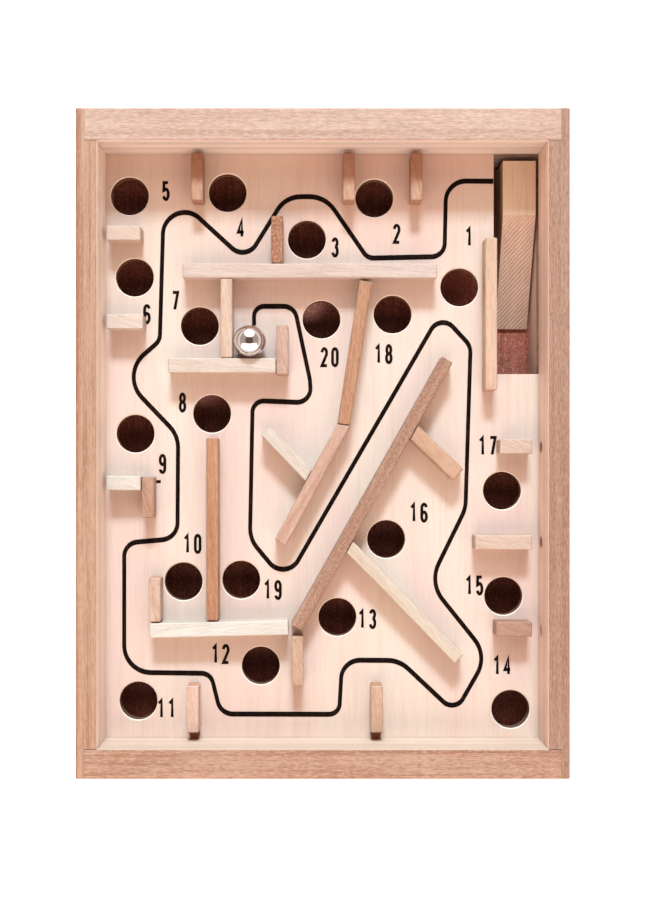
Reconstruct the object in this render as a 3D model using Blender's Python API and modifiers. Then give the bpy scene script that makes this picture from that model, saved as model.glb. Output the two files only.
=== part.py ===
"""Hand-held tilt maze: an open wooden tray with a drilled board, glued wall strips and a steel ball.

Frame: metres, +Z up, origin at the middle of the underside. X runs across the tray and Y along it;
the ramp pocket is in the far (+Y) right (+X) corner.

Stack, from the table up: base panel, lower deck, drilled board, wall strips, rim of the rails.
A ball that drops through a hole lands on the lower deck and is rolled back up the ramp to the start.
"""
import math

import bmesh
import bpy
from mathutils import Matrix, Vector

MM = 0.001

# Outer box
BOX_WIDTH = 140.0 * MM
BOX_LENGTH = 190.0 * MM
SIDE_RAIL_T = 6.2 * MM
FAR_RAIL_T = 9.4 * MM
NEAR_RAIL_T = 8.5 * MM

# Heights, from the table up
BASE_T = 3.0 * MM
BALL_D = 9.5 * MM
DECK_CLEARANCE = BALL_D + 1.0 * MM
BOARD_T = 3.0 * MM
RIM_H = 13.0 * MM
STRIP_H = 6.0 * MM
BOARD_UNDERSIDE = BASE_T + DECK_CLEARANCE
BOARD_TOP = BOARD_UNDERSIDE + BOARD_T
BOX_H = BOARD_TOP + RIM_H

# Joinery
CORNER_LIP = 2.5 * MM        # outer skin of a side rail that laps over an end rail's end
CORNER_GAP = 0.06 * MM       # glue line in the lapped corners
GROOVE_DEPTH = 2.0 * MM      # holds the board's edge
RABBET_DEPTH = 3.0 * MM      # holds the base panel's edge
FIT_GAP = 0.2 * MM           # play in the rails' grooves and rabbets
GLUE_LINE = 0.1 * MM         # under a glued strip
ROLL_GAP = 0.25 * MM         # between the ball and what it rests against
OVERCUT = 2.0 * MM           # how far a cutter runs past the face it opens
RAIL_ROUND = 0.5 * MM
STRIP_ROUND = 0.25 * MM

# Drilled board
HOLE_D = 11.2 * MM
HOLE_EASE = 0.25 * MM        # broken edge around each hole
HOLE_SIDES = 40
POCKET_LEFT_X = 50.6 * MM    # left edge of the corner cut-out
POCKET_NEAR_Y = 20.7 * MM    # near edge of the corner cut-out
# Hole centres (x, y) in millimetres, in the order in which the track passes them
HOLES_MM = (
    (40.5, 46.3), (15.4, 72.6), (-4.5, 60.4), (-27.9, 74.2), (-56.8, 73.2),
    (-55.3, 49.2), (-36.1, 34.9), (-32.5, 9.0), (-55.1, 3.1), (-40.9, -40.5),
    (-54.2, -75.7), (-18.1, -65.3), (4.5, -51.0), (55.6, -78.2), (53.5, -44.8),
    (18.9, -28.0), (53.1, -13.7), (20.8, 38.3), (-23.9, -40.0), (-0.2, 36.8),
)

# Ramp block, from the lower deck up to the board
RAMP_W = 9.6 * MM
RAMP_SIDE_GAP = 0.8 * MM     # to the right rail
RAMP_FAR_Y = 83.6 * MM
RAMP_BREAK_Y = 67.7 * MM     # where the flat top ends and the slope starts
RAMP_NEAR_Y = 35.6 * MM
RAMP_TOE_H = 0.6 * MM

# Wall strips: thickness of the stock, and how far a stub stops short of its rail
UPRIGHT_T = 3.4 * MM
CROSS_T = 4.2 * MM
DIAGONAL_T = 3.6 * MM
UPPER_BRANCH_T = 4.4 * MM
FAR_STUB_GAP = 1.4 * MM
NEAR_STUB_GAP = 2.9 * MM
LEFT_STUB_GAP = 1.3 * MM
RIGHT_STUB_GAP = 3.1 * MM
BUTT_GAP = 0.2 * MM          # between two strips that meet
FINISH_LEFT_X = -27.8 * MM   # centreline of the finish pocket's left wall
FINISH_SHELF_Y = 22.7 * MM   # centreline of the finish pocket's shelf

# Brads that pin the base panel to the rails
BRAD_SHANK_R = 0.5 * MM
BRAD_HEAD_R = 1.1 * MM
BRAD_HEAD_T = 0.5 * MM
BRAD_LENGTH = 8.0 * MM
BRAD_POINT = 1.2 * MM
BRAD_PLAY = 0.15 * MM
BRAD_SIDES = 12
SIDE_BRAD_Y = (-60.0 * MM, 0.0, 60.0 * MM)
END_BRAD_X = (-42.0 * MM, 42.0 * MM)

# Derived places
INNER_X = BOX_WIDTH / 2 - SIDE_RAIL_T
INNER_FAR_Y = BOX_LENGTH / 2 - FAR_RAIL_T
INNER_NEAR_Y = NEAR_RAIL_T - BOX_LENGTH / 2
STRIP_BOTTOM = BOARD_TOP + GLUE_LINE
STRIP_TOP = BOARD_TOP + STRIP_H


# ---------------------------------------------------------------- scene and materials

def clear_scene():
    for obj in list(bpy.data.objects):
        bpy.data.objects.remove(obj, do_unlink=True)


def new_collection(name):
    collection = bpy.data.collections.new(name)
    bpy.context.scene.collection.children.link(collection)
    return collection


def principled(name, colour, roughness, metallic=0.0):
    material = bpy.data.materials.new(name)
    material.use_nodes = True
    shader = material.node_tree.nodes["Principled BSDF"]
    shader.inputs["Base Color"].default_value = (*colour, 1.0)
    shader.inputs["Roughness"].default_value = roughness
    shader.inputs["Metallic"].default_value = metallic
    return material


def make_materials():
    return {
        "rail": principled("rail_wood", (0.64, 0.40, 0.26), 0.60),
        "board": principled("board_plywood", (0.88, 0.70, 0.56), 0.55),
        "pale": principled("strip_pale", (0.93, 0.76, 0.58), 0.60),
        "brown": principled("strip_brown", (0.56, 0.31, 0.18), 0.60),
        "ramp": principled("ramp_wood", (0.53, 0.33, 0.22), 0.65),
        "hardboard": principled("base_hardboard", (0.28, 0.11, 0.07), 0.55),
        "steel": principled("ball_steel", (0.86, 0.86, 0.88), 0.08, 1.0),
        "brad": principled("brad_steel", (0.55, 0.55, 0.56), 0.35, 1.0),
    }


# ---------------------------------------------------------------- shape helpers

def box_bmesh(size, centre=(0.0, 0.0, 0.0)):
    bm = bmesh.new()
    scale = Matrix.Diagonal((*size, 1.0))
    bmesh.ops.create_cube(bm, size=1.0, matrix=Matrix.Translation(centre) @ scale)
    return bm


def object_from_bmesh(name, bm, collection, material=None):
    mesh = bpy.data.meshes.new(name)
    bm.to_mesh(mesh)
    bm.free()
    if material is not None:
        mesh.materials.append(material)
    obj = bpy.data.objects.new(name, mesh)
    collection.objects.link(obj)
    return obj


def make_cutter(name, bm, collection):
    cutter = object_from_bmesh(name, bm, collection)
    cutter.hide_render = True
    cutter.display_type = "WIRE"
    return cutter


def box_cutter(name, low, high, collection):
    low, high = Vector(low), Vector(high)
    return make_cutter(name, box_bmesh(high - low, (low + high) / 2), collection)


def drill_cutter(name, centres, radius_low, radius_high, z_low, z_high, sides, collection):
    """One cutter for a set of upright round holes; unlike radii make it a countersink."""
    bm = bmesh.new()
    for x, y in centres:
        bmesh.ops.create_cone(
            bm, cap_ends=True, segments=sides, radius1=radius_low, radius2=radius_high,
            depth=z_high - z_low, matrix=Matrix.Translation((x, y, (z_low + z_high) / 2)))
    return make_cutter(name, bm, collection)


def cut(obj, *cutters):
    for cutter in cutters:
        modifier = obj.modifiers.new(cutter.name, "BOOLEAN")
        modifier.operation = "DIFFERENCE"
        modifier.solver = "EXACT"
        modifier.object = cutter


def ease_edges(obj, width, segments=1):
    modifier = obj.modifiers.new("eased_edges", "BEVEL")
    modifier.width = width
    modifier.segments = segments
    modifier.limit_method = "ANGLE"


# ---------------------------------------------------------------- rails

def brad_places():
    """Brad centres as (name, x, y): three in each side rail and two in each end rail."""
    side_x = INNER_X + RABBET_DEPTH / 2
    near_y = INNER_NEAR_Y - RABBET_DEPTH / 2
    far_y = INNER_FAR_Y + RABBET_DEPTH / 2
    places = []
    for side, x in (("left", -side_x), ("right", side_x)):
        for number, y in enumerate(SIDE_BRAD_Y, start=1):
            places.append((f"base_brad_{side}_{number}", x, y))
    for end, y in (("near", near_y), ("far", far_y)):
        for number, x in enumerate(END_BRAD_X, start=1):
            places.append((f"base_brad_{end}_{number}", x, y))
    return places


def make_side_rail(side, parts, cutters, material, brad_bores):
    """A rail along Y; side is -1 for the left rail and +1 for the right one."""
    name = "frame_rail_left" if side < 0 else "frame_rail_right"
    bm = box_bmesh((SIDE_RAIL_T, BOX_LENGTH, BOX_H))
    rail = object_from_bmesh(name, bm, parts, material)
    rail.location = (side * (BOX_WIDTH - SIDE_RAIL_T) / 2, 0.0, BOX_H / 2)
    ease_edges(rail, RAIL_ROUND, 2)

    def cross_cut(label, depth, y_low, y_high, z_low, z_high):
        xs = sorted((side * (INNER_X - OVERCUT), side * (INNER_X + depth)))
        low = (xs[0], y_low, z_low)
        high = (xs[1], y_high, z_high)
        cut(rail, box_cutter(f"cut_{name}_{label}", low, high, cutters))

    reach = BOX_LENGTH / 2 + OVERCUT
    far_shoulder = INNER_FAR_Y - CORNER_GAP
    near_shoulder = INNER_NEAR_Y + CORNER_GAP
    lip_depth = SIDE_RAIL_T - CORNER_LIP
    cross_cut("groove", GROOVE_DEPTH, -reach, reach, BOARD_UNDERSIDE - FIT_GAP, BOARD_TOP + FIT_GAP)
    cross_cut("rabbet", RABBET_DEPTH, -reach, reach, -OVERCUT, BASE_T + FIT_GAP)
    cross_cut("far_corner", lip_depth, far_shoulder, reach, -OVERCUT, BOX_H + OVERCUT)
    cross_cut("near_corner", lip_depth, -reach, near_shoulder, -OVERCUT, BOX_H + OVERCUT)
    cut(rail, brad_bores)
    return rail


def make_end_rail(end, parts, cutters, material, brad_bores):
    """A rail along X between the side rails' lips; end is -1 for the near rail, +1 for the far."""
    name = "frame_rail_near" if end < 0 else "frame_rail_far"
    thickness = NEAR_RAIL_T if end < 0 else FAR_RAIL_T
    inner_y = INNER_NEAR_Y if end < 0 else INNER_FAR_Y
    rail = object_from_bmesh(name, box_bmesh((BOX_WIDTH, thickness, BOX_H)), parts, material)
    rail.location = (0.0, inner_y + end * thickness / 2, BOX_H / 2)
    ease_edges(rail, RAIL_ROUND, 2)

    def cross_cut(label, depth, z_low, z_high):
        ys = sorted((inner_y - end * OVERCUT, inner_y + end * depth))
        low = (-BOX_WIDTH / 2 - OVERCUT, ys[0], z_low)
        high = (BOX_WIDTH / 2 + OVERCUT, ys[1], z_high)
        cut(rail, box_cutter(f"cut_{name}_{label}", low, high, cutters))

    cross_cut("groove", GROOVE_DEPTH, BOARD_UNDERSIDE - FIT_GAP, BOARD_TOP + FIT_GAP)
    cross_cut("rabbet", RABBET_DEPTH, -OVERCUT, BASE_T + FIT_GAP)

    reach = BOX_LENGTH / 2 + OVERCUT
    for label, side in (("left_end", -1), ("right_end", 1)):
        lip_x = BOX_WIDTH / 2 - CORNER_LIP - CORNER_GAP
        xs = sorted((side * lip_x, side * (BOX_WIDTH / 2 + 2 * OVERCUT)))
        low = (xs[0], -reach, -OVERCUT)
        high = (xs[1], reach, BOX_H + OVERCUT)
        cut(rail, box_cutter(f"cut_{name}_{label}", low, high, cutters))
    cut(rail, brad_bores)
    return rail


# ---------------------------------------------------------------- board, base and ramp

def make_board(parts, cutters, material):
    half_x = INNER_X + GROOVE_DEPTH - FIT_GAP
    near_y = INNER_NEAR_Y - GROOVE_DEPTH + FIT_GAP
    far_y = INNER_FAR_Y + GROOVE_DEPTH - FIT_GAP
    bm = box_bmesh((2 * half_x, far_y - near_y, BOARD_T))
    board = object_from_bmesh("maze_board", bm, parts, material)
    board.location = (0.0, (near_y + far_y) / 2, BOARD_UNDERSIDE + BOARD_T / 2)

    pocket = box_cutter(
        "cut_ramp_pocket", (POCKET_LEFT_X, POCKET_NEAR_Y, BOARD_UNDERSIDE - OVERCUT),
        (half_x + OVERCUT, far_y + OVERCUT, BOARD_TOP + OVERCUT), cutters)
    centres = [(x * MM, y * MM) for x, y in HOLES_MM]
    drill = drill_cutter(
        "cut_ball_holes", centres, HOLE_D / 2, HOLE_D / 2,
        BOARD_UNDERSIDE - OVERCUT, BOARD_TOP + OVERCUT, HOLE_SIDES, cutters)
    ease = drill_cutter(
        "cut_ball_hole_edges", centres, HOLE_D / 2 - HOLE_EASE, HOLE_D / 2 + 2 * HOLE_EASE,
        BOARD_TOP - 2 * HOLE_EASE, BOARD_TOP + HOLE_EASE, HOLE_SIDES, cutters)
    cut(board, pocket, drill, ease)
    return board


def make_base(parts, cutters, material, brad_bores, brads):
    half_x = INNER_X + RABBET_DEPTH - FIT_GAP
    near_y = INNER_NEAR_Y - RABBET_DEPTH + FIT_GAP
    far_y = INNER_FAR_Y + RABBET_DEPTH - FIT_GAP
    bm = box_bmesh((2 * half_x, far_y - near_y, BASE_T))
    base = object_from_bmesh("base_panel", bm, parts, material)
    base.location = (0.0, (near_y + far_y) / 2, BASE_T / 2)
    sink_r = BRAD_HEAD_R + BRAD_PLAY
    head_sinks = drill_cutter(
        "cut_brad_heads", [(x, y) for _, x, y in brads], sink_r, sink_r,
        -OVERCUT, BRAD_HEAD_T + 2 * BRAD_PLAY, BRAD_SIDES, cutters)
    cut(base, brad_bores, head_sinks)
    return base


def make_ramp(parts, material):
    """A side outline (Y across the page, Z up it) as thick as the ramp is wide."""
    top_z = BOARD_TOP
    foot_z = BASE_T + FIT_GAP
    outline = (
        (RAMP_FAR_Y, foot_z), (RAMP_FAR_Y, top_z), (RAMP_BREAK_Y, top_z),
        (RAMP_NEAR_Y, foot_z + RAMP_TOE_H), (RAMP_NEAR_Y, foot_z),
    )
    curve = bpy.data.curves.new("ramp", "CURVE")
    curve.dimensions = "2D"
    curve.fill_mode = "BOTH"
    curve.extrude = RAMP_W / 2
    spline = curve.splines.new("POLY")
    spline.points.add(len(outline) - 1)
    for point, (y, z) in zip(spline.points, outline):
        point.co = (y, z, 0.0, 1.0)
    spline.use_cyclic_u = True
    curve.materials.append(material)
    ramp = bpy.data.objects.new("ramp", curve)
    parts.objects.link(ramp)
    ramp.rotation_euler = (math.pi / 2, 0.0, math.pi / 2)
    ramp.location = (INNER_X - RAMP_SIDE_GAP - RAMP_W / 2, 0.0, 0.0)
    weld = ramp.modifiers.new("closed_caps", "WELD")
    weld.merge_threshold = 0.01 * MM
    return ramp


# ---------------------------------------------------------------- wall strips

def make_strip(name, start, end, thickness, parts, material, start_face=None, end_face=None):
    """A strip standing on the board between two points of its centreline.

    start_face and end_face are the directions, in degrees from +X, that an end is sawn along;
    an end with none is sawn square.
    """
    start, end = Vector(start), Vector(end)
    run = end - start
    heading = math.atan2(run.y, run.x)
    height = STRIP_TOP - STRIP_BOTTOM
    bm = box_bmesh((run.length, thickness, height))
    for vert in bm.verts:
        face = end_face if vert.co.x > 0.0 else start_face
        if face is not None:
            vert.co.x += vert.co.y / math.tan(math.radians(face) - heading)
    strip = object_from_bmesh(name, bm, parts, material)
    middle = (start + end) / 2
    strip.location = (middle.x, middle.y, (STRIP_BOTTOM + STRIP_TOP) / 2)
    strip.rotation_euler = (0.0, 0.0, heading)
    ease_edges(strip, STRIP_ROUND)
    return strip


def rail_stubs():
    """Short strips that grow inwards from the four rails, as (name, start, end, thickness, tone)."""
    far = INNER_FAR_Y - FAR_STUB_GAP
    near = INNER_NEAR_Y + NEAR_STUB_GAP
    left = -INNER_X + LEFT_STUB_GAP
    right = INNER_X - RIGHT_STUB_GAP
    far_reach = 70.5 * MM
    near_reach = -70.1 * MM
    stubs = []
    for name, x in (("left", -36.3), ("middle", 7.7), ("right", 27.3)):
        stubs.append((f"wall_far_stub_{name}", (x * MM, far_reach), (x * MM, far), UPRIGHT_T, "pale"))
    for name, x in (("left", -37.6), ("right", 15.8)):
        stubs.append((f"wall_near_stub_{name}", (x * MM, near_reach), (x * MM, near), UPRIGHT_T, "pale"))
    for name, y, tip in (("far", 61.0, -52.7), ("middle", 35.4, -51.9), ("near", -11.4, -52.6)):
        stubs.append((f"wall_left_stub_{name}", (left, y * MM), (tip * MM, y * MM), CROSS_T, "pale"))
    for name, y, tip in (("far", -0.8, 51.4), ("middle", -28.6, 44.2), ("near", -53.7, 50.3)):
        stubs.append((f"wall_right_stub_{name}", (tip * MM, y * MM), (right, y * MM), CROSS_T, "pale"))
    return stubs


def upright_and_cross_strips():
    """Strips along Y and X that stand clear of the rails, as (name, start, end, thickness, tone)."""
    bar_y = 50.1 * MM
    bar_near = bar_y - CROSS_T / 2 - BUTT_GAP
    bar_far = bar_y + CROSS_T / 2 + BUTT_GAP
    shelf_y = FINISH_SHELF_Y
    shelf_far = shelf_y + CROSS_T / 2 + BUTT_GAP
    cup_left_x = FINISH_LEFT_X
    cup_right_x = -11.6 * MM
    shelf_end = cup_right_x - UPRIGHT_T / 2 - BUTT_GAP
    post_x = -50.6 * MM
    guard_x = POCKET_LEFT_X - UPRIGHT_T / 2
    return [
        ("wall_long_bar", (-40.5 * MM, bar_y), (33.2 * MM, bar_y), CROSS_T, "pale"),
        ("wall_upper_post", (-13.1 * MM, bar_far), (-13.1 * MM, 66.0 * MM), UPRIGHT_T, "brown"),
        ("wall_finish_left", (cup_left_x, shelf_far), (cup_left_x, bar_near), UPRIGHT_T, "pale"),
        ("wall_finish_shelf", (-44.7 * MM, shelf_y), (shelf_end, shelf_y), CROSS_T, "pale"),
        ("wall_finish_right", (cup_right_x, 20.1 * MM), (cup_right_x, 34.4 * MM), UPRIGHT_T, "pale"),
        ("wall_left_stub_post", (post_x, -21.4 * MM), (post_x, -9.6 * MM), UPRIGHT_T, "brown"),
        ("wall_left_lane", (-31.9 * MM, -51.1 * MM), (-31.9 * MM, 1.7 * MM), UPRIGHT_T, "brown"),
        ("wall_low_bar", (-50.0 * MM, -54.1 * MM), (-9.9 * MM, -53.2 * MM), CROSS_T, "pale"),
        ("wall_low_bar_post", (-48.6 * MM, -51.5 * MM), (-48.6 * MM, -38.8 * MM), UPRIGHT_T, "pale"),
        ("wall_low_bar_tail", (-7.2 * MM, -70.1 * MM), (-7.2 * MM, -55.8 * MM), UPRIGHT_T, "pale"),
        ("wall_ramp_guard", (guard_x, 15.6 * MM), (guard_x, 59.7 * MM), UPRIGHT_T, "pale"),
    ]


def branch_start(trunk_start, trunk_end, along, side):
    """Where a branch's centreline meets the face of a trunk strip, and the trunk's direction."""
    trunk_start, trunk_end = Vector(trunk_start), Vector(trunk_end)
    heading = (trunk_end - trunk_start).normalized()
    right = Vector((heading.y, -heading.x))
    face = trunk_start + heading * along + right * side * (DIAGONAL_T / 2 + BUTT_GAP)
    return face, math.degrees(math.atan2(heading.y, heading.x))


def make_diagonals(parts, materials):
    """The strip that leans on the long bar, the two slanted trunks and their sawn-to-fit branches."""
    lean_start, lean_end = (12.6 * MM, 47.1 * MM), (6.2 * MM, 5.7 * MM)
    inner_start, inner_end = (6.1 * MM, 5.4 * MM), (-12.2 * MM, -28.6 * MM)
    long_start, long_end = (36.2 * MM, 24.4 * MM), (-7.5 * MM, -53.3 * MM)
    lean_heading = math.atan2(lean_end[1] - lean_start[1], lean_end[0] - lean_start[0])
    thick = DIAGONAL_T
    make_strip("wall_leaning", lean_start, lean_end, thick, parts, materials["brown"])
    make_strip("wall_inner_diagonal", inner_start, inner_end, thick, parts, materials["pale"],
               start_face=math.degrees(lean_heading) + 90.0)
    make_strip("wall_long_diagonal", long_start, long_end, thick, parts, materials["brown"])

    face, trunk = branch_start(inner_start, inner_end, 17.6 * MM, 1)
    make_strip("wall_inner_branch", (-16.5 * MM, 3.8 * MM), face, thick, parts, materials["pale"],
               end_face=trunk)
    face, trunk = branch_start(long_start, long_end, 23.1 * MM, -1)
    make_strip("wall_upper_branch", face, (39.4 * MM, -8.9 * MM), UPPER_BRANCH_T, parts,
               materials["pale"], start_face=trunk)
    face, trunk = branch_start(long_start, long_end, 61.2 * MM, -1)
    make_strip("wall_lower_branch", face, (39.6 * MM, -62.3 * MM), thick, parts, materials["pale"],
               start_face=trunk)


def make_walls(parts, materials):
    for name, start, end, thickness, tone in rail_stubs() + upright_and_cross_strips():
        make_strip(name, start, end, thickness, parts, materials[tone])
    make_diagonals(parts, materials)


# ---------------------------------------------------------------- ball and brads

def make_ball(parts, material):
    """The ball at rest in the finish pocket, touching the pocket's left wall and its shelf."""
    radius = BALL_D / 2
    pocket_left = FINISH_LEFT_X + UPRIGHT_T / 2
    shelf_far = FINISH_SHELF_Y + CROSS_T / 2
    bm = bmesh.new()
    bmesh.ops.create_uvsphere(bm, u_segments=28, v_segments=14, radius=radius)
    ball = object_from_bmesh("steel_ball", bm, parts, material)
    ball.data.shade_smooth()
    ball.location = (
        pocket_left + radius + ROLL_GAP, shelf_far + radius + ROLL_GAP,
        BOARD_TOP + radius + ROLL_GAP)
    return ball


def brad_mesh(material):
    """A turned brad, head down at z = 0 and point up, from its half profile."""
    profile = (
        (0.0, BRAD_LENGTH), (BRAD_SHANK_R, BRAD_LENGTH - BRAD_POINT), (BRAD_SHANK_R, BRAD_HEAD_T),
        (BRAD_HEAD_R, BRAD_HEAD_T), (BRAD_HEAD_R, 0.0), (0.0, 0.0),
    )
    mesh = bpy.data.meshes.new("base_brad")
    verts = [(radius, 0.0, z) for radius, z in profile]
    edges = [(index, index + 1) for index in range(len(profile) - 1)]
    mesh.from_pydata(verts, edges, [])
    mesh.materials.append(material)
    return mesh


def make_brads(brads, parts, material):
    mesh = brad_mesh(material)
    for name, x, y in brads:
        brad = bpy.data.objects.new(name, mesh)
        parts.objects.link(brad)
        brad.location = (x, y, BRAD_PLAY)
        turn = brad.modifiers.new("turned", "SCREW")
        turn.axis = "Z"
        turn.steps = BRAD_SIDES
        turn.render_steps = BRAD_SIDES
        turn.use_merge_vertices = True
        turn.merge_threshold = 0.01 * MM
        turn.use_smooth_shade = False


# ---------------------------------------------------------------- the whole object

def build():
    clear_scene()
    parts = new_collection("tilt_maze_game")
    cutters = new_collection("tilt_maze_cutters")
    materials = make_materials()
    brads = brad_places()
    bore_r = BRAD_SHANK_R + BRAD_PLAY
    brad_bores = drill_cutter(
        "cut_brad_bores", [(x, y) for _, x, y in brads], bore_r, bore_r,
        -OVERCUT, BRAD_LENGTH + 2 * BRAD_PLAY, BRAD_SIDES, cutters)

    for side in (-1, 1):
        make_side_rail(side, parts, cutters, materials["rail"], brad_bores)
        make_end_rail(side, parts, cutters, materials["rail"], brad_bores)
    make_board(parts, cutters, materials["board"])
    make_base(parts, cutters, materials["hardboard"], brad_bores, brads)
    make_ramp(parts, materials["ramp"])
    make_walls(parts, materials)
    make_ball(parts, materials["steel"])
    make_brads(brads, parts, materials["brad"])

    tray = bpy.data.objects.new("tray", None)
    parts.objects.link(tray)
    for obj in parts.objects:
        if obj is not tray:
            obj.parent = tray


build()
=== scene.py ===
import math
import random

import bmesh
import bpy
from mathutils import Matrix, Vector


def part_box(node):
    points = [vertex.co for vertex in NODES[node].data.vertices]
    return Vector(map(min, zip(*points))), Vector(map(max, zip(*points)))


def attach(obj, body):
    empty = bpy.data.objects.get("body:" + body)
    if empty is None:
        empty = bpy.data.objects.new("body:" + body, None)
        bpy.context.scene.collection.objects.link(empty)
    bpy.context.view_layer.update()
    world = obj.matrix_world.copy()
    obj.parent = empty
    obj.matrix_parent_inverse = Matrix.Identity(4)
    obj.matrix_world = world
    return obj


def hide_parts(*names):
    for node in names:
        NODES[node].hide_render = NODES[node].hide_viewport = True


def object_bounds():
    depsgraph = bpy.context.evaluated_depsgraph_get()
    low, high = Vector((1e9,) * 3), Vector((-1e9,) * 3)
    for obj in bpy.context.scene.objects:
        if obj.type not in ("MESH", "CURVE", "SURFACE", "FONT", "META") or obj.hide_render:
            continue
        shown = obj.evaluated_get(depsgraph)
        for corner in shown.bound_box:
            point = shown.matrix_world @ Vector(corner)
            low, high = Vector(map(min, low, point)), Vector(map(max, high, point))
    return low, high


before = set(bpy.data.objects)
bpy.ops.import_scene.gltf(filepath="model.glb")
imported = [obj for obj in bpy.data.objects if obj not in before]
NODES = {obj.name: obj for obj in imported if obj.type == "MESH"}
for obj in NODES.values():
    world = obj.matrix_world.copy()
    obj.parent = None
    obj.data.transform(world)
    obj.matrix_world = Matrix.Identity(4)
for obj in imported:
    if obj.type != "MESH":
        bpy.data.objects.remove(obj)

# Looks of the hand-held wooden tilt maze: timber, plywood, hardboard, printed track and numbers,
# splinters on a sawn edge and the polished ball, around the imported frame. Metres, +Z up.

cad_low, cad_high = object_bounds()

MM = 0.001
TRAY = "tray"
BALL = "ball"
BOARD_LOW, BOARD_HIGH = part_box("maze_board")
BALL_LOW, BALL_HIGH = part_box("steel_ball")
BOARD_TOP = BOARD_HIGH.z

# Camera: straight down, from a little left of the tray's middle and nearer than it
CAMERA_ABOVE_RIM = 292.0 * MM
CAMERA_X = -4.0 * MM
CAMERA_Y = -6.0 * MM
CAMERA_SHIFT = (0.0238, 0.0162)
LENS_MM = 41.34

# Studio lights as (name, shape, heading, elevation, distance, width, height, power, colour), with
# angles in degrees and lengths in metres; a heading of 90 degrees is the tray's far side
LIGHTS = (
    ("key", "RECTANGLE", 90.0, 34.0, 2.4, 0.56, 0.32, 84.0, (0.69, 0.885, 0.98)),
    ("near_softbox", "RECTANGLE", 270.0, 42.0, 1.1, 3.0, 1.1, 24.0, (1.0, 0.72, 0.56)),
    ("far_softbox", "ELLIPSE", 90.0, 37.0, 1.1, 1.3, 1.25, 6.4, (1.0, 0.93, 0.85)),
)
WORLD_HORIZON = (0.97, 0.89, 0.83, 1.0)
WORLD_WALLS = (0.52, 0.395, 0.31, 1.0)
WORLD_OVERHEAD = (0.13, 0.10, 0.09, 1.0)

# Where the world's colours stand, from 0 at the horizon to 1 overhead
HORIZON_STOP = 0.24
WALLS_STOPS = (0.40, 0.84)
OVERHEAD_STOP = 0.92

FLOOR_GLOW = 1.0
FLOOR_REACH = 40.0
FLOOR_BELOW = 0.2 * MM

# Print: pen width across and along the tray, and the ink's thickness
PEN_ACROSS = 1.2 * MM
PEN_ALONG = 1.5 * MM
INK_LIFT = 0.01 * MM
INK_T = 0.03 * MM
DIGIT_W = 1.4 * MM
DIGIT_H = 5.0 * MM
DIGIT_PEN_ACROSS = 0.84 * MM
DIGIT_PEN_ALONG = 0.92 * MM
DIGIT_ADVANCE = 3.15 * MM

# The track's corners as (x, y, radius) in millimetres, from the ramp pocket to the finish pocket
TRACK_MM = (
    (50.5, 77.6, 0.0), (36.6, 77.7, 6.0), (36.1, 55.4, 4.0), (13.4, 54.9, 3.5), (0.9, 73.1, 9.0),
    (-10.8, 73.0, 8.0), (-22.5, 54.1, 4.6), (-38.1, 68.4, 6.0), (-46.8, 68.4, 6.5),
    (-47.9, 30.6, 4.0), (-59.5, 20.4, 8.8), (-42.5, 2.6, 9.0),
    (-42.7, -27.8, 5.0), (-58.4, -29.2, 4.2), (-58.4, -67.3, 8.0), (-32.9, -67.6, 3.6),
    (-29.9, -79.6, 4.6), (5.0, -79.7, 3.2), (5.9, -63.7, 5.6), (22.8, -63.8, 9.0),
    (39.2, -79.2, 3.7), (48.8, -62.4, 9.0), (31.6, -40.9, 10.0), (42.3, -19.0, 10.0),
    (43.8, 29.0, 5.0), (34.9, 38.6, 4.0), (-10.8, -40.7, 5.1),
    (-21.3, -28.0, 9.0), (-20.5, 12.9, 3.4), (-3.2, 12.2, 4.0), (-3.6, 19.0, 8.0),
    (-8.2, 40.7, 4.0), (-20.1, 40.7, 3.0), (-20.1, 34.4, 0.0),
)

# Each hole's number and where the number's middle is, in millimetres
NUMBERS_MM = (
    ("1", 43.3, 61.2), ("2", 22.0, 62.1), ("3", 3.8, 58.1), ("4", -24.0, 63.8), ("5", -46.1, 74.7),
    ("6", -51.7, 38.4), ("7", -43.3, 42.3), ("8", -41.2, 12.3), ("9", -47.1, -5.8),
    ("10", -38.3, -29.4), ("11", -46.0, -78.0), ("12", -30.0, -61.9), ("13", 13.3, -51.6),
    ("14", 53.1, -65.3), ("15", 44.9, -41.7), ("16", 28.5, -20.2), ("17", 48.8, -0.5),
    ("18", 18.1, 26.6), ("19", -14.6, -43.0), ("20", 2.2, 25.7),
)
STRAY_DASH_MM = ((-50.0, -11.1), (-47.6, -11.0))

# Splinters on the left rail's inner edge as (y, length, lean, drop) in millimetres
SPLINTERS_MM = (
    (74.0, 2.8, 1.7, 1.0), (67.5, 5.5, 1.1, 2.2), (64.8, 7.0, 0.7, 1.6), (60.5, 4.2, 1.3, 2.6),
)
SPLINTER_T = 0.28 * MM


# ---------------------------------------------------------------- node graphs

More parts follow.
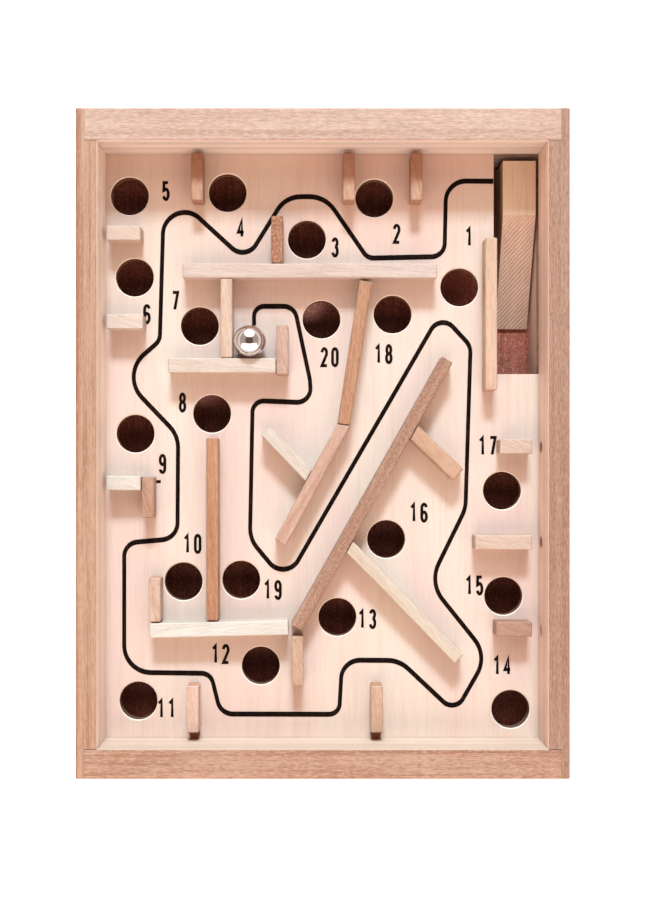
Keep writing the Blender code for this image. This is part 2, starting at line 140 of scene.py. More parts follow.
class Graph:
    """A Principled material whose node tree is built one node at a time."""

    def __init__(self, name, roughness=0.6, metallic=0.0):
        self.material = bpy.data.materials.new(name)
        self.material.use_nodes = True
        self.tree = self.material.node_tree
        self.shader = self.tree.nodes["Principled BSDF"]
        self.shader.inputs["Roughness"].default_value = roughness
        self.shader.inputs["Metallic"].default_value = metallic

    def node(self, kind, inputs=None, **settings):
        made = self.tree.nodes.new(kind)
        for key, value in settings.items():
            setattr(made, key, value)
        for key, value in (inputs or {}).items():
            if isinstance(value, bpy.types.NodeSocket):
                self.tree.links.new(value, made.inputs[key])
            else:
                made.inputs[key].default_value = value
        return made

    def coords(self, output="Object"):
        return self.node("ShaderNodeTexCoord").outputs[output]

    def turned(self, vector, heading, offset):
        """The vector in a frame whose X runs along heading, moved by offset."""
        inputs = {"Vector": vector, "Rotation": (0.0, 0.0, -heading), "Location": offset}
        return self.node("ShaderNodeMapping", inputs).outputs["Vector"]

    def scaled(self, vector, scale):
        inputs = {0: vector, 1: scale}
        return self.node("ShaderNodeVectorMath", inputs, operation="MULTIPLY").outputs[0]

    def noise(self, vector, scale, detail=2.0, roughness=0.5, distortion=0.0):
        inputs = {"Vector": vector, "Scale": scale, "Detail": detail,
                  "Roughness": roughness, "Distortion": distortion}
        return self.node("ShaderNodeTexNoise", inputs).outputs["Fac"]

    def span(self, value, low, high, out_low=0.0, out_high=1.0):
        """value's range low..high stretched to out_low..out_high and held there."""
        inputs = {"Value": value, "From Min": low, "From Max": high,
                  "To Min": out_low, "To Max": out_high}
        return self.node("ShaderNodeMapRange", inputs).outputs["Result"]

    def math(self, operation, first, second=0.0):
        return self.node("ShaderNodeMath", {0: first, 1: second}, operation=operation).outputs[0]

    def mix(self, factor, first, second, blend="MIX"):
        inputs = {0: factor, 6: first, 7: second}
        made = self.node("ShaderNodeMix", inputs, data_type="RGBA", blend_type=blend)
        return made.outputs[2]

    def tinted(self, mask, colour, tint):
        """The colour, multiplied by the tint where the mask is 1."""
        return self.mix(mask, colour, self.mix(1.0, colour, (*tint, 1.0), "MULTIPLY"))

    def axis(self, vector, name):
        return self.node("ShaderNodeSeparateXYZ", {0: vector}).outputs[name]

    def bump(self, height, distance, strength=1.0):
        inputs = {"Height": height, "Distance": distance, "Strength": strength}
        self.link("Normal", self.node("ShaderNodeBump", inputs).outputs["Normal"])

    def link(self, socket, value):
        self.tree.links.new(value, self.shader.inputs[socket])


# ---------------------------------------------------------------- timber

# How dark and light detail departs from a plank's tone, per colour channel
FIBRE_DARK = (0.70, 0.55, 0.47)
FIBRE_LIGHT = (1.14, 1.24, 1.32)
CROSS_CUT_DARK = (0.66, 0.50, 0.40)
CROSS_CUT_LIGHT = (1.55, 1.85, 2.10)
END_GRAIN_TINT = (0.84, 0.78, 0.72)


def with_painted_shade_spots(graph, colour, marks):
    """The colour with round spots of painted shade, as (middle, full radius, end radius, tint)."""
    for middle, core, reach, tint in marks:
        away = graph.node("ShaderNodeVectorMath", {0: graph.coords(), 1: middle},
                          operation="DISTANCE")
        shade_spot = graph.span(away.outputs["Value"], core, reach, 1.0, 0.0)
        colour = graph.tinted(shade_spot, colour, tint)
    return colour


def timber(name, tone, heading, seed, figure=0.5, flecks=0.4, mottle=0.4, side=None,
           cross_cut=False, marks=()):
    """Planed softwood: lengthwise figure, fine fibres, flecks, blotches and darker end grain.

    heading is the grain's direction in the XY plane and seed moves the pattern. side is a
    direction and a colour: the faces that look that way have no flecks or blotches and take the
    colour, which is partly painted light, lighter or warmer in place of the light on those faces.
    A cross-cut strip has round pores in place of fibres. marks are round spots of painted shade.
    """
    graph = Graph(name)
    draw = random.Random(seed)
    offset = (draw.uniform(0.0, 1.0), draw.uniform(0.0, 1.0), draw.uniform(0.0, 1.0))
    place = graph.turned(graph.coords(), heading, offset)
    dark, light = (CROSS_CUT_DARK, CROSS_CUT_LIGHT) if cross_cut else (FIBRE_DARK, FIBRE_LIGHT)
    streak = (*(part * share for part, share in zip(tone, dark)), 1.0)
    glow = (*(min(0.9, part * share) for part, share in zip(tone, light)), 1.0)
    run, pore_scale = (0.8, 1700.0) if cross_cut else (0.25, 2300.0)

    bands = graph.noise(graph.scaled(place, (0.010, 1.0, 1.0)), 330.0, 3.0, 0.6, 0.1)
    rings = graph.noise(graph.scaled(place, (0.020, 1.0, 1.0)), 900.0, 3.0, 0.6, 0.1)
    fibres = graph.noise(graph.scaled(place, (max(run * run, 0.05), 1.0, 1.0)), 2800.0, 2.0, 0.6)
    specks = graph.noise(graph.scaled(place, (run, 1.0, 1.0)), pore_scale, 3.0, 0.7)
    blotches = graph.noise(graph.scaled(place, (0.35, 1.0, 1.0)), 90.0, 3.0, 0.6, 0.3)

    base = (*tone, 1.0)
    colour = graph.mix(graph.math("MULTIPLY", graph.span(blotches, 0.38, 0.62), mottle), base, glow)
    for lines, low, high, share in ((bands, 0.50, 0.66, 0.9), (rings, 0.46, 0.66, 0.6)):
        lines_mask = graph.math("MULTIPLY", graph.span(lines, low, high), figure * share)
        colour = graph.mix(lines_mask, colour, streak)
    speck_mask = graph.math("MULTIPLY", graph.span(specks, 0.50, 0.66), flecks)
    colour = graph.mix(speck_mask, colour, streak)
    pale_mask = graph.math("MULTIPLY", graph.span(specks, 0.49, 0.36), flecks)
    colour = graph.mix(pale_mask, colour, glow)
    colour = graph.mix(1.0, colour, graph.span(fibres, 0.32, 0.68, 0.88, 1.11), "MULTIPLY")

    normal = graph.coords("Normal")
    # The side colour is partly painted light: those faces made lighter or warmer in place of light
    if side:
        way, partly_painted_side_tone = side
        facing = graph.node("ShaderNodeVectorMath", {0: normal, 1: way}, operation="DOT_PRODUCT")
        cleaner_and_painted_side = graph.mix(1.0, (*partly_painted_side_tone, 1.0), graph.span(bands, 0.40, 0.66, 1.04, 0.84),
                            "MULTIPLY")
        cleaner_and_painted_side = graph.mix(1.0, cleaner_and_painted_side, graph.span(fibres, 0.32, 0.68, 0.93, 1.06), "MULTIPLY")
        colour = graph.mix(graph.span(facing.outputs["Value"], 0.8, 0.95), colour, cleaner_and_painted_side)
    colour = with_painted_shade_spots(graph, colour, marks)

    along = graph.axis(graph.turned(normal, heading, (0.0, 0.0, 0.0)), "X")
    end_grain = graph.span(graph.math("ABSOLUTE", along), 0.6, 0.9)
    colour = graph.tinted(end_grain, colour, END_GRAIN_TINT)

    graph.link("Base Color", colour)
    graph.link("Roughness", graph.span(fibres, 0.3, 0.7, 0.52, 0.68))
    relief = graph.math("ADD", graph.math("MULTIPLY", rings, 0.6), fibres)
    graph.bump(relief, 0.03 * MM, 0.8)
    return graph.material


def plywood(marks):
    """The board: pale veneer along Y, pink and cream clouding, and three plies at cut edges.

    The veneer is ruddier towards the far rail. It is paler and warmer at the near rail, painted
    light in place of the softbox light that the rail keeps off. marks are spots of painted shade.
    """
    graph = Graph("board_plywood_look")
    place = graph.turned(graph.coords(), math.pi / 2, (0.31, 0.17, 0.0))
    cloud = graph.noise(graph.scaled(place, (0.25, 1.0, 1.0)), 45.0, 3.0, 0.55, 0.4)
    figure = graph.noise(graph.scaled(place, (0.03, 1.0, 1.0)), 520.0, 3.0, 0.6, 0.5)
    fibres = graph.noise(graph.scaled(place, (0.04, 1.0, 1.0)), 2600.0, 2.0, 0.6)
    flecks = graph.noise(graph.scaled(place, (0.15, 1.0, 1.0)), 1300.0, 2.0, 0.6)

    pink = (0.595, 0.457, 0.415, 1.0)
    cream = (0.606, 0.513, 0.454, 1.0)
    shade = (0.52, 0.365, 0.285, 1.0)
    colour = graph.mix(graph.span(cloud, 0.40, 0.60), pink, cream)
    colour = graph.mix(graph.math("MULTIPLY", graph.span(figure, 0.50, 0.72), 0.34), colour, shade)
    colour = graph.mix(graph.math("MULTIPLY", graph.span(flecks, 0.60, 0.75), 0.25), colour, shade)
    colour = graph.mix(1.0, colour, graph.span(fibres, 0.35, 0.65, 0.965, 1.03), "MULTIPLY")
    ruddy = graph.span(graph.axis(graph.coords(), "Y"), 30.0 * MM, 80.0 * MM)
    colour = graph.tinted(ruddy, colour, (0.95, 0.86, 0.83))
    # Painted light: paler and warmer by the near rail, which keeps the near softbox's light off
    near_rail_painted_light = graph.span(graph.axis(graph.coords(), "Y"), -68.0 * MM, -82.0 * MM)
    colour = graph.tinted(near_rail_painted_light, colour, (1.11, 1.03, 0.98))
    colour = with_painted_shade_spots(graph, colour, marks)

    plies = graph.math("SUBTRACT", graph.axis(graph.coords(), "Z"), BOARD_LOW.z)
    core = graph.math("COMPARE", graph.math("DIVIDE", plies, BOARD_HIGH.z - BOARD_LOW.z), 0.5)
    core.node.inputs[2].default_value = 0.18
    # Dark ply edges: partly the plies' own colour, partly painted shade down in the holes
    edge = graph.mix(core, (0.20, 0.105, 0.075, 1.0), (0.11, 0.055, 0.040, 1.0))
    facing_up = graph.axis(graph.coords("Normal"), "Z")
    # Pale eased hole rims: partly fresh-cut wood, partly a painted highlight where they catch light
    eased = graph.mix(graph.span(facing_up, 0.85, 0.95), (0.74, 0.65, 0.57, 1.0), colour)
    colour = graph.mix(graph.span(facing_up, 0.2, 0.5), edge, eased)
    # Painted shade: the board's underside is dark brown
    underside_painted_shade = graph.span(facing_up, -0.5, -0.8)
    colour = graph.mix(underside_painted_shade, colour, (0.16, 0.085, 0.060, 1.0))

    graph.link("Base Color", colour)
    graph.link("Roughness", graph.span(fibres, 0.3, 0.7, 0.46, 0.60))
    graph.bump(graph.math("ADD", figure, fibres), 0.015 * MM, 0.6)
    return graph.material


def hardboard():
    """The base panel: pressed reddish-brown board, streaked along Y and specked with fibres."""
    graph = Graph("base_hardboard_look")
    place = graph.turned(graph.coords(), math.pi / 2, (0.2, 0.4, 0.0))
    streaks = graph.noise(graph.scaled(place, (0.06, 1.0, 1.0)), 900.0, 3.0, 0.6)
    specks = graph.noise(graph.scaled(place, (0.5, 1.0, 1.0)), 2600.0, 2.0, 0.7)
    colour = graph.mix(graph.span(streaks, 0.38, 0.64), (0.225, 0.048, 0.032, 1.0),
                       (0.35, 0.090, 0.055, 1.0))
    colour = graph.mix(graph.span(specks, 0.50, 0.68, 0.0, 0.9), colour, (0.58, 0.23, 0.15, 1.0))
    graph.link("Base Color", colour)
    graph.link("Roughness", graph.span(specks, 0.3, 0.7, 0.45, 0.65))
    graph.bump(graph.math("ADD", streaks, specks), 0.04 * MM, 0.8)
    return graph.material


def sawn_ramp():
    """The ramp block: planed tan top, and a greyer slope scored by the saw on the skew."""
    graph = Graph("ramp_wood_look")
    place = graph.turned(graph.coords(), math.pi / 2, (0.7, 0.1, 0.0))
    figure = graph.noise(graph.scaled(place, (0.04, 1.0, 1.0)), 450.0, 3.0, 0.6, 0.3)
    fibres = graph.noise(graph.scaled(place, (0.05, 1.0, 1.0)), 2400.0, 2.0, 0.6)
    skew = graph.turned(graph.coords(), math.radians(-42.0), (0.0, 0.0, 0.0))
    wobble = graph.noise(graph.coords(), 500.0, 2.0, 0.5)
    phase = graph.math("ADD", graph.math("MULTIPLY", graph.axis(skew, "X"), 7000.0),
                       graph.math("MULTIPLY", wobble, 6.0))
    marks = graph.span(graph.math("SINE", phase), -1.0, 1.0)

    facing_near = graph.math("MULTIPLY", graph.axis(graph.coords("Normal"), "Y"), -1.0)
    slope = graph.span(facing_near, 0.2, 0.3)
    planed = graph.mix(graph.span(figure, 0.4, 0.65), (0.63, 0.47, 0.35, 1.0),
                       (0.54, 0.38, 0.27, 1.0))
    sawn = graph.mix(graph.span(figure, 0.35, 0.65), (0.68, 0.47, 0.37, 1.0),
                     (0.60, 0.40, 0.31, 1.0))
    scored = graph.mix(graph.math("MULTIPLY", marks, 0.38), sawn, (0.40, 0.26, 0.20, 1.0))
    colour = graph.mix(slope, planed, scored)
    colour = graph.mix(1.0, colour, graph.span(fibres, 0.35, 0.65, 0.94, 1.04), "MULTIPLY")
    graph.link("Base Color", colour)
    graph.link("Roughness", graph.span(fibres, 0.3, 0.7, 0.60, 0.75))
    cuts = graph.math("MULTIPLY", graph.math("MULTIPLY", marks, slope), -2.0)
    relief = graph.math("ADD", fibres, cuts)
    graph.bump(relief, 0.05 * MM, 0.8)
    return graph.material


def ink():
    """Screen-printed black-brown ink, a little thin where the veneer's fibres stand up."""
    graph = Graph("print_ink_look")
    place = graph.turned(graph.coords(), math.pi / 2, (0.0, 0.0, 0.0))
    fibres = graph.noise(graph.scaled(place, (0.06, 1.0, 1.0)), 2600.0, 2.0, 0.6)
    worn = (0.030, 0.012, 0.008, 1.0)
    colour = graph.mix(graph.span(fibres, 0.5, 0.75), (0.0035, 0.0016, 0.0012, 1.0), worn)
    graph.shader.inputs["Specular IOR Level"].default_value = 0.06
    graph.link("Base Color", colour)
    graph.link("Roughness", graph.span(fibres, 0.3, 0.7, 0.72, 0.88))
    graph.bump(fibres, 0.01 * MM, 0.5)
    return graph.material


def polished_steel():
    """The ball: a mirror finish with faint handling marks."""
    graph = Graph("ball_steel_look", roughness=0.06, metallic=1.0)
    haze = graph.noise(graph.coords(), 900.0, 3.0, 0.6)
    scratches = graph.noise(graph.scaled(graph.coords(), (1.0, 0.08, 1.0)), 6000.0, 1.0, 0.5)
    graph.link("Base Color", graph.mix(haze, (0.70, 0.71, 0.73, 1.0), (0.80, 0.81, 0.83, 1.0)))
    handling = graph.math("MULTIPLY", haze, scratches)
    graph.link("Roughness", graph.span(handling, 0.15, 0.55, 0.05, 0.13))
    graph.bump(scratches, 0.001 * MM, 0.3)
    return graph.material


def wire_steel():
    """The brads: drawn wire with a dull grey skin."""
    graph = Graph("brad_steel_look", roughness=0.35, metallic=1.0)
    grime = graph.noise(graph.coords(), 2500.0, 3.0, 0.6)
    graph.link("Base Color", graph.mix(grime, (0.30, 0.29, 0.28, 1.0), (0.62, 0.61, 0.60, 1.0)))
    graph.link("Roughness", graph.span(grime, 0.3, 0.7, 0.28, 0.50))
    graph.bump(grime, 0.02 * MM, 0.5)
    return graph.material


# ---------------------------------------------------------------- dressing the frame

def dress(node, material):
    mesh = NODES[node].data
    mesh.materials.clear()
    mesh.materials.append(material)


# Rails: tone, grain heading, figure, flecks and mottle, and the inner face's way and tone. The
# inner face's tone is partly cleaner wood and partly painted light, lighter in place of light on it
RAIL_LOOKS = {
    "frame_rail_left": ((0.375, 0.227, 0.158), 90.0, 1.3, 0.4, 0.4,
                        ((1, 0, 0), (0.81, 0.65, 0.565))),
    "frame_rail_right": ((0.294, 0.172, 0.123), 90.0, 0.7, 0.75, 0.6,
                         ((-1, 0, 0), (0.77, 0.555, 0.465))),
    "frame_rail_far": ((0.417, 0.285, 0.228), 0.0, 0.5, 0.6, 0.6,
                       ((0, -1, 0), (0.65, 0.565, 0.525))),
    "frame_rail_near": ((0.362, 0.217, 0.155), 0.0, 1.3, 0.8, 0.6,
                        ((0, 1, 0), (0.53, 0.40, 0.32))),
}

# Painted shade on the right rail's inner face at its stubs' ends, as (y, tint): the last is faint
GAP_SHADE_TINT = (0.30, 0.16, 0.11)
FAINT_GAP_SHADE_TINT = (0.62, 0.50, 0.44)
RAIL_GAP_SHADE = ((-0.9 * MM, GAP_SHADE_TINT), (-28.6 * MM, GAP_SHADE_TINT), (-54.4 * MM, FAINT_GAP_SHADE_TINT))
RAIL_GAP_SHADE_LIFT = 3.5 * MM
RAIL_GAP_SHADE_RADII = (1.3 * MM, 2.0 * MM)

# Painted shade in the gaps at the near stubs' ends: height over the board, share of the way
# to the near rail, and tint
GAP_SHADE_ON_RAIL = (1.2 * MM, 1.0, (0.34, 0.13, 0.07))
GAP_SHADE_ON_BOARD = (0.0, 0.6, (0.40, 0.19, 0.10))
GAP_SHADE_RADII = (1.4 * MM, 1.8 * MM)

# Strips: tone, figure, flecks and mottle
STRIP_LOOKS = {
    "wall_far_stub_left": ((0.379, 0.212, 0.142), 0.54, 0.48, 0.3),
    "wall_far_stub_middle": ((0.396, 0.226, 0.154), 0.54, 0.48, 0.3),
    "wall_far_stub_right": ((0.396, 0.226, 0.154), 0.54, 0.48, 0.3),
    "wall_near_stub_left": ((0.536, 0.362, 0.290), 0.28, 0.3, 0.4),
    "wall_near_stub_right": ((0.458, 0.292, 0.213), 0.28, 0.3, 0.4),
    "wall_left_stub_far": ((0.483, 0.368, 0.308), 0.24, 0.21, 0.3),
    "wall_left_stub_middle": ((0.499, 0.411, 0.358), 0.24, 0.21, 0.3),
    "wall_left_stub_near": ((0.500, 0.454, 0.405), 0.21, 0.18, 0.3),
    "wall_left_stub_post": ((0.369, 0.223, 0.161), 0.54, 0.48, 0.3),
    "wall_right_stub_far": ((0.458, 0.341, 0.287), 0.24, 0.24, 0.3),
    "wall_right_stub_middle": ((0.463, 0.347, 0.285), 0.24, 0.24, 0.3),
    "wall_right_stub_near": ((0.329, 0.190, 0.140), 0.45, 0.4, 0.4),
    "wall_long_bar": ((0.451, 0.353, 0.313), 0.21, 0.21, 0.4),
    "wall_upper_post": ((0.258, 0.113, 0.060), 0.5, 1.0, 0.6),
    "wall_finish_left": ((0.468, 0.342, 0.267), 0.41, 0.32, 0.3),
    "wall_finish_shelf": ((0.493, 0.412, 0.362), 0.24, 0.21, 0.3),
    "wall_finish_right": ((0.420, 0.286, 0.233), 0.45, 0.48, 0.4),
    "wall_leaning": ((0.356, 0.187, 0.110), 1.0, 0.6, 0.7),
    "wall_left_lane": ((0.377, 0.196, 0.113), 0.9, 0.5, 0.5),
    "wall_inner_diagonal": ((0.423, 0.272, 0.214), 0.45, 0.4, 0.5),
    "wall_inner_branch": ((0.465, 0.403, 0.354), 0.21, 0.21, 0.3),
    "wall_long_diagonal": ((0.291, 0.164, 0.113), 0.7, 0.42, 0.55),
    "wall_upper_branch": ((0.414, 0.254, 0.176), 0.45, 0.4, 0.4),
    "wall_lower_branch": ((0.476, 0.391, 0.322), 0.21, 0.24, 0.4),
    "wall_low_bar": ((0.509, 0.482, 0.444), 0.17, 0.18, 0.3),
    "wall_low_bar_post": ((0.464, 0.328, 0.259), 0.45, 0.48, 0.5),
    "wall_low_bar_tail": ((0.399, 0.262, 0.187), 0.45, 0.48, 0.5),
    "wall_ramp_guard": ((0.463, 0.308, 0.228), 0.28, 0.24, 0.4),
}

# Painted light colour: a strip's face towards the far rail is made ruddier than its planed top,
# to offset the cool key light that falls on that face
FAR_FACE_PAINTED_WARMTH = (0.97, 0.84, 0.74)

# Painted shade: the far stubs are darker where they meet the far rail, under its shadow
FAR_END_PAINTED_SHADE_TINT = (0.78, 0.62, 0.54)
FAR_END_PAINTED_SHADE_RADII = (6.5 * MM, 9.5 * MM)

# Strips that show round pores in place of long fibres
CROSS_CUT_STRIPS = ("wall_upper_post", "wall_long_diagonal")


def grain_heading(node):
    """The direction of a strip's longest level edge, which its grain follows."""
    mesh = NODES[node].data
    longest = Vector((0.0, 0.0, 0.0))
    for edge in mesh.edges:
        run = mesh.vertices[edge.vertices[1]].co - mesh.vertices[edge.vertices[0]].co
        if abs(run.z) < 0.1 * MM and run.length > longest.length:
            longest = run
    return math.atan2(longest.y, longest.x)


def near_stub_gap_shade(lift, share, tint):
    """Painted shade in the near stubs' gaps to their rail, at a share of the way to the rail."""
    rail_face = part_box("frame_rail_near")[1].y
    marks = []
    for node in ("wall_near_stub_left", "wall_near_stub_right"):
        low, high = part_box(node)
        middle = ((low.x + high.x) / 2, low.y + (rail_face - low.y) * share, BOARD_TOP + lift)
        marks.append((middle, *GAP_SHADE_RADII, tint))
    return marks


def dress_frame():
    for seed, (node, look) in enumerate(RAIL_LOOKS.items(), start=1):
        tone, heading, figure, flecks, mottle, side = look
        marks = []
        # Painted shade on the right rail's inner face, in the gaps at its stubs' ends
        if node == "frame_rail_right":
            edge_x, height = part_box(node)[0].x, BOARD_TOP + RAIL_GAP_SHADE_LIFT
            marks = [((edge_x, y, height), *RAIL_GAP_SHADE_RADII, tint) for y, tint in RAIL_GAP_SHADE]
        # The near rail takes painted shade in the near stubs' gaps
        if node == "frame_rail_near":
            marks = near_stub_gap_shade(*GAP_SHADE_ON_RAIL)
        dress(node, timber(f"{node}_look", tone, math.radians(heading), seed, figure, flecks,
                           mottle, side, marks=marks))
    for seed, (node, (tone, figure, flecks, mottle)) in enumerate(STRIP_LOOKS.items(), start=21):
        low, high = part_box(node)
        # Painted shade at the far stubs' far ends
        far_end = ((low.x + high.x) / 2, high.y, high.z)
        marks = [(far_end, *FAR_END_PAINTED_SHADE_RADII, FAR_END_PAINTED_SHADE_TINT)] if "far_stub" in node else []
        # Painted warmth on the far-facing faces, against the cool key light
        far_face_painted_tone = tuple(part * share for part, share in zip(tone, FAR_FACE_PAINTED_WARMTH))
        dress(node, timber(f"{node}_look", tone, grain_heading(node), seed, figure, flecks, mottle,
                           side=((0, 1, 0), far_face_painted_tone), cross_cut=node in CROSS_CUT_STRIPS,
                           marks=marks))
    # The board takes painted shade in the near stubs' gaps
    dress("maze_board", plywood(near_stub_gap_shade(*GAP_SHADE_ON_BOARD)))
    dress("base_panel", hardboard())
    dress("ramp", sawn_ramp())
    brad_look = wire_steel()
    for node in NODES:
        if node.startswith("base_brad_"):
            dress(node, brad_look)


# ---------------------------------------------------------------- print

def rounded_route(corners):
    """Points along straight runs joined by arcs; corners are (x, y, radius)."""
    points = [Vector(corners[0][:2])]
    for before, corner, after in zip(corners, corners[1:], corners[2:]):
        here = Vector(corner[:2])
        back = (Vector(before[:2]) - here).normalized()
        ahead = (Vector(after[:2]) - here).normalized()
        half = back.angle(ahead) / 2
        reach = corner[2] / math.tan(half)
        centre = here + (back + ahead).normalized() * corner[2] / math.sin(half)
        start = here + back * reach - centre
        turn = (here + ahead * reach - centre).angle_signed(start)
        steps = max(4, round(abs(turn) / math.radians(7.0)))
        for step in range(steps + 1):
            angle = turn * step / steps
            spin = Vector((start.x * math.cos(angle) - start.y * math.sin(angle),
                           start.x * math.sin(angle) + start.y * math.cos(angle)))
            points.append(centre + spin)
    points.append(Vector(corners[-1][:2]))
    return points


def stroke(bm, points, across, along, z, closed=False):
    """A flat ribbon on a route: across wide where it runs along Y, along wide along X."""
    count = len(points)
    sides = []
    for index, point in enumerate(points):
        before = points[index - 1] if index or closed else point
        after = points[(index + 1) % count] if index + 1 < count or closed else point
        first = (point - before).normalized() if point != before else (after - point).normalized()
        second = (after - point).normalized() if after != point else first
        run = (first + second).normalized()
        stretch = 1.0 / max(0.5, run.dot(second))
        nib = Vector((-run.y * across / 2, run.x * along / 2)) * stretch
        sides.append([bm.verts.new((*(point + nib * side), z)) for side in (1, -1)])
    pairs = list(zip(sides, sides[1:])) + ([(sides[-1], sides[0])] if closed else [])
    for near, far in pairs:
        bm.faces.new((near[0], near[1], far[1], far[0]))


def printed(name, bm, material):
    bmesh.ops.recalc_face_normals(bm, faces=bm.faces)
    for face in bm.faces:
        if face.normal.z < 0.0:
            face.normal_flip()
    mesh = bpy.data.meshes.new(name)
    bm.to_mesh(mesh)
    bm.free()
    mesh.materials.append(material)
    piece = bpy.data.objects.new(name, mesh)
    bpy.context.scene.collection.objects.link(piece)
    body = piece.modifiers.new("ink_film", "SOLIDIFY")
    body.thickness = INK_T
    body.offset = 1.0
    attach(piece, TRAY)
    return piece


def arc(x, y, across, up, start, stop, steps=12):
    """Points of an elliptic arc between two angles in degrees."""
    angles = [math.radians(start + (stop - start) * step / steps) for step in range(steps + 1)]
    return [(x + across * math.cos(angle), y + up * math.sin(angle)) for angle in angles]


def digit_strokes(digit):
    """A condensed numeral as (points, closed) strokes in a box from (-0.5, 0) to (0.5, 1)."""
    six_bowl = (arc(0.0, 0.27, 0.5, 0.27, 90, 450, 24)[:-1], True)
    six_hook = (arc(0.0, 0.78, 0.48, 0.22, 12, 180) + [(-0.5, 0.3)], False)
    return {
        "0": [(arc(0, 0.76, 0.5, 0.24, 0, 180) + arc(0, 0.24, 0.5, 0.24, 180, 360), True)],
        "1": [([(-0.42, 0.80), (0.12, 1.0), (0.12, 0.0)], False)],
        "2": [(arc(0, 0.75, 0.5, 0.25, 172, -32) + [(-0.5, 0.0), (0.56, 0.0)], False)],
        "3": [(arc(0, 0.77, 0.46, 0.23, 165, -90), False),
              (arc(0, 0.27, 0.5, 0.27, 90, -165), False)],
        "4": [([(0.22, 0.0), (0.22, 1.0), (-0.55, 0.26), (0.6, 0.26)], False)],
        "5": [([(0.46, 1.0), (-0.40, 1.0), (-0.46, 0.54)] + arc(0, 0.31, 0.5, 0.31, 125, -160),
               False)],
        "6": [six_bowl, six_hook],
        "7": [([(-0.55, 1.0), (0.5, 1.0), (-0.14, 0.0)], False)],
        "8": [(arc(0, 0.76, 0.43, 0.24, 90, 450, 24)[:-1], True),
              (arc(0, 0.265, 0.5, 0.265, 90, 450, 24)[:-1], True)],
        "9": [([(-x, 1 - y) for x, y in points], closed)
              for points, closed in (six_bowl, six_hook)],
    }[digit]


def print_track(material):
    bm = bmesh.new()
    route = [point * MM for point in rounded_route(TRACK_MM)]
    stroke(bm, route, PEN_ACROSS, PEN_ALONG, BOARD_TOP + INK_LIFT)
    return printed("printed_track", bm, material)


def print_numbers(material):
    bm = bmesh.new()
    for label, x, y in NUMBERS_MM:
        for place, digit in enumerate(label):
            left = (place - (len(label) - 1) / 2) * DIGIT_ADVANCE
            for layer, (points, closed) in enumerate(digit_strokes(digit)):
                route = [Vector((x * MM + left + px * DIGIT_W, y * MM + (py - 0.5) * DIGIT_H))
                         for px, py in points]
                height = BOARD_TOP + INK_LIFT * (1.0 + layer)
                stroke(bm, route, DIGIT_PEN_ACROSS, DIGIT_PEN_ALONG, height, closed)
    dash = [Vector(point) * MM for point in STRAY_DASH_MM]
    stroke(bm, dash, DIGIT_PEN_ACROSS, DIGIT_PEN_ALONG, BOARD_TOP + INK_LIFT)
    return printed("printed_numbers", bm, material)


# ---------------------------------------------------------------- ball and splinters

def polished_ball(material):
    """The ball as a fine true sphere in place of the frame's coarse one."""
    radius = (BALL_HIGH.z - BALL_LOW.z) / 2
    bm = bmesh.new()
    bmesh.ops.create_icosphere(bm, subdivisions=5, radius=radius)
    mesh = bpy.data.meshes.new("ball_polished")
    bm.to_mesh(mesh)
    bm.free()
    mesh.shade_smooth()
    mesh.materials.append(material)
    ball = bpy.data.objects.new("ball_polished", mesh)
    bpy.context.scene.collection.objects.link(ball)
    ball.location = (BALL_LOW + BALL_HIGH) / 2
    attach(ball, BALL)
    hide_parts("steel_ball")
    return ball


def splinter(name, points, thickness, material):
    """A fibre torn from a sawn edge: a thin tube that thins out to its tip."""
    curve = bpy.data.curves.new(name, "CURVE")
    curve.dimensions = "3D"
    curve.bevel_depth = thickness / 2
    curve.bevel_resolution = 1
    curve.use_fill_caps = True
    curve.resolution_u = 6
    spline = curve.splines.new("BEZIER")
    spline.bezier_points.add(len(points) - 1)
    for index, (knot, point) in enumerate(zip(spline.bezier_points, points)):
        knot.co = Vector(point)
        knot.handle_left_type = "AUTO"
        knot.handle_right_type = "AUTO"
        knot.radius = 1.0 - 0.75 * index / (len(points) - 1)
    curve.materials.append(material)
    piece = bpy.data.objects.new(name, curve)
    bpy.context.scene.collection.objects.link(piece)
    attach(piece, TRAY)
    return piece


def splinters(material):
    """Fibres along the inner top edge of the left rail."""
    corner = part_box("frame_rail_left")[1]
    for number, (y, length, lean, drop) in enumerate(SPLINTERS_MM, start=1):
        root = Vector((corner.x - 0.15 * MM, y * MM, corner.z - 0.6 * MM))
        knots = []
        for share in (0.0, 0.35, 0.7, 1.0):
            offset = Vector((lean * share ** 1.5, -length * share, -drop * share ** 2)) * MM
            knots.append(root + offset)
        splinter(f"edge_splinter_{number}", knots, SPLINTER_T, material)


# ---------------------------------------------------------------- studio

def add_light(name, shape, heading, elevation, distance, width, height, power, colour):
    """A soft light aimed at the tray's middle."""
    light = bpy.data.lights.new(name, "AREA")
    light.shape = shape
    light.size = width
    light.size_y = height
    light.energy = power
    light.color = colour
    lamp = bpy.data.objects.new(name, light)
    bpy.context.scene.collection.objects.link(lamp)
    turn = math.radians(heading)
    rise = math.radians(elevation)
    way = Vector((math.cos(turn) * math.cos(rise), math.sin(turn) * math.cos(rise), math.sin(rise)))
    lamp.location = way * distance
    lamp.rotation_euler = (-way).to_track_quat("-Z", "Y").to_euler()


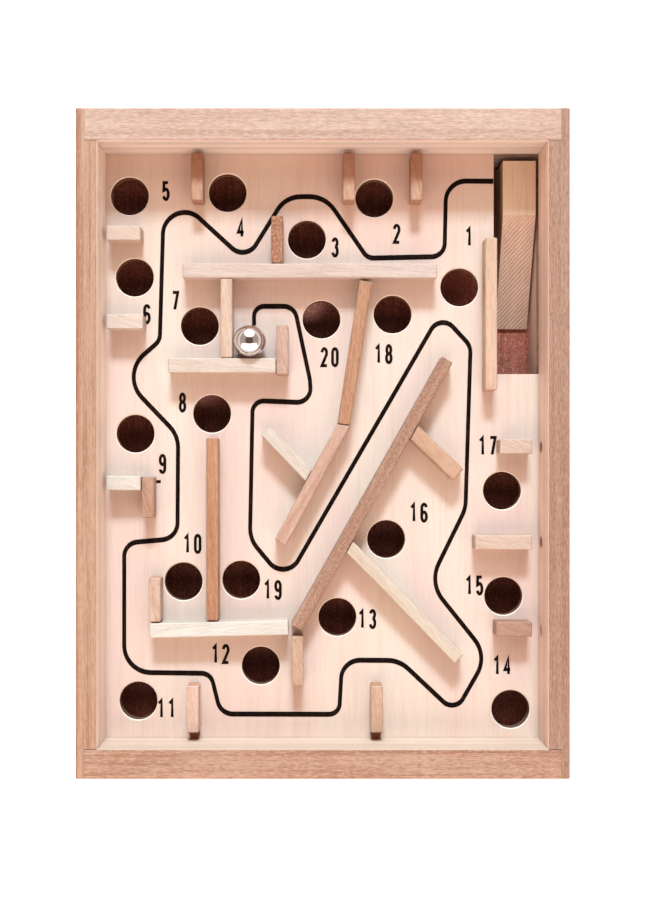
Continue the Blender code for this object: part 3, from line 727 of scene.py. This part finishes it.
def add_world():
    """A bright horizon, warm walls above it and a dark ceiling."""
    world = bpy.data.worlds.new("studio")
    world.use_nodes = True
    nodes, links = world.node_tree.nodes, world.node_tree.links
    rise = nodes.new("ShaderNodeSeparateXYZ")
    ramp = nodes.new("ShaderNodeValToRGB")
    stops = ramp.color_ramp.elements
    stops[0].position, stops[0].color = HORIZON_STOP, WORLD_HORIZON
    stops[1].position, stops[1].color = OVERHEAD_STOP, WORLD_OVERHEAD
    for position in WALLS_STOPS:
        stops.new(position).color = WORLD_WALLS
    links.new(nodes.new("ShaderNodeTexCoord").outputs["Generated"], rise.inputs[0])
    links.new(rise.outputs["Z"], ramp.inputs["Fac"])
    links.new(ramp.outputs["Color"], nodes["Background"].inputs["Color"])
    bpy.context.scene.world = world


def add_floor():
    graph = Graph("studio_floor_look", roughness=0.9)
    graph.shader.inputs["Base Color"].default_value = (0.90, 0.90, 0.90, 1.0)
    graph.shader.inputs["Emission Color"].default_value = (1.0, 1.0, 1.0, 1.0)
    graph.shader.inputs["Emission Strength"].default_value = FLOOR_GLOW
    bm = bmesh.new()
    bmesh.ops.create_grid(bm, x_segments=1, y_segments=1, size=FLOOR_REACH)
    mesh = bpy.data.meshes.new("studio_floor")
    bm.to_mesh(mesh)
    bm.free()
    mesh.materials.append(graph.material)
    floor = bpy.data.objects.new("studio_floor", mesh)
    floor.location = (0.0, 0.0, cad_low.z - FLOOR_BELOW)
    bpy.context.scene.collection.objects.link(floor)


def add_camera():
    camera = bpy.data.objects.new("camera", bpy.data.cameras.new("camera"))
    camera.data.lens = LENS_MM
    camera.data.shift_x, camera.data.shift_y = CAMERA_SHIFT
    camera.data.clip_start = 0.01
    camera.location = (CAMERA_X, CAMERA_Y, cad_high.z + CAMERA_ABOVE_RIM)
    bpy.context.scene.collection.objects.link(camera)
    bpy.context.scene.camera = camera


add_camera()
add_world()
for light_settings in LIGHTS:
    add_light(*light_settings)
add_floor()
bpy.context.scene.view_settings.view_transform = "Standard"

dress_frame()
ink_look = ink()
print_track(ink_look)
print_numbers(ink_look)
polished_ball(polished_steel())
splinters(timber("splinter_look", (0.56, 0.44, 0.36), math.pi / 2, 71))
